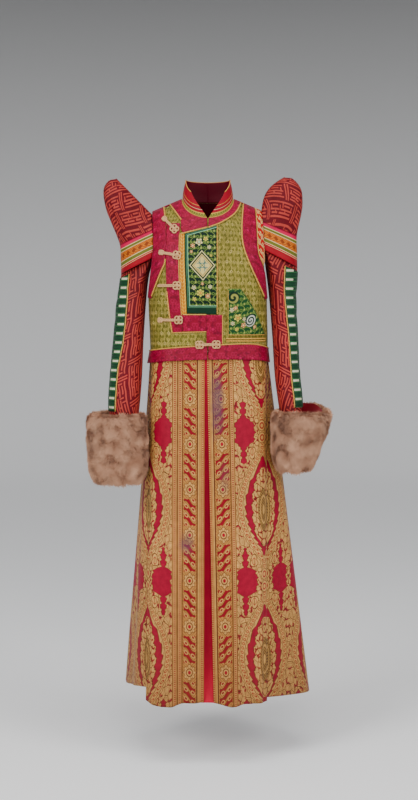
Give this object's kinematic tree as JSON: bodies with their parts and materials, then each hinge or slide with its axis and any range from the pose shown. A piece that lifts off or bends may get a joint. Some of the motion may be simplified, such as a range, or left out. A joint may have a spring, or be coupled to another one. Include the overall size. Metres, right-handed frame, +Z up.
{
  "type": "mongolian deel robe",
  "caption": "Worn festive robe with peaked puffed shoulders, striped armbands, fur cuffs, side-closing flap bodice and long split brocade skirt; hollow.",
  "frame": {"origin": "middle of the neck opening at the collar's foot, where the wearer's neck and shoulders hold it", "axes": "+Z up along the wearer, front towards -Y, +X to the viewer's right seen from the front"},
  "size_m": [0.6403, 0.4063, 1.3903],
  "materials": {
    "green_brocade": "woven silk brocade, soft sheen",
    "magenta_damask": "figured silk damask, satin sheen",
    "dark_green_silk": "embroidered silk",
    "gold_strip": "gold brocade strip",
    "red_gold_brocade": "red and gold brocade",
    "collar_cloth": "striped silk bands",
    "fret_cloth": "key fret silk",
    "armband_stripes": "striped brocade bands",
    "barred_strip": "dark green silk with cream bars",
    "fur": "dense brown fur",
    "cuff_lining_silk": "crimson silk",
    "skirt_brocade": "gold figured brocade on crimson",
    "crimson_cloth": "crimson silk",
    "toggle_cord": "twisted silk cord"
  },
  "bodies": {
    "root": {"armband_left": "armband_stripes", "armband_right": "armband_stripes", "armhole_band_back_left": "magenta_damask", "armhole_band_back_right": "magenta_damask", "armhole_band_front_left": "magenta_damask", "armhole_band_front_right": "magenta_damask", "armhole_inset_right": "red_gold_brocade", "bodice_back": "green_brocade", "bodice_corner_right": "dark_green_silk", "bodice_front_left": "green_brocade", "bodice_front_right": "green_brocade", "collar_left": "collar_cloth", "collar_right": "collar_cloth", "cuff_left": "fur", "cuff_lining_right": "cuff_lining_silk", "cuff_right": "fur", "flap_bottom": "magenta_damask", "flap_edge": "magenta_damask", "flap_gold_strip": "gold_strip", "flap_panel": "dark_green_silk", "skirt_back": "skirt_brocade", "skirt_front_left": "skirt_brocade", "skirt_front_right": "skirt_brocade", "skirt_side_left": "skirt_brocade", "skirt_side_right": "skirt_brocade", "skirt_under_strip": "crimson_cloth", "sleeve_left": "fret_cloth", "sleeve_puff_left": "fret_cloth", "sleeve_puff_right": "fret_cloth", "sleeve_right": "fret_cloth", "sleeve_strip_left": "barred_strip", "sleeve_strip_right": "barred_strip", "toggle_1": "toggle_cord", "toggle_2": "toggle_cord", "toggle_3": "toggle_cord", "toggle_4": "toggle_cord", "toggle_5": "toggle_cord", "waist_back_left": "magenta_damask", "waist_back_right": "magenta_damask", "waist_front_left": "magenta_damask", "waist_front_right": "magenta_damask", "yoke_back_left": "magenta_damask", "yoke_back_right": "magenta_damask", "yoke_front_left": "magenta_damask", "yoke_front_right": "magenta_damask"}
  },
  "joints": []
}
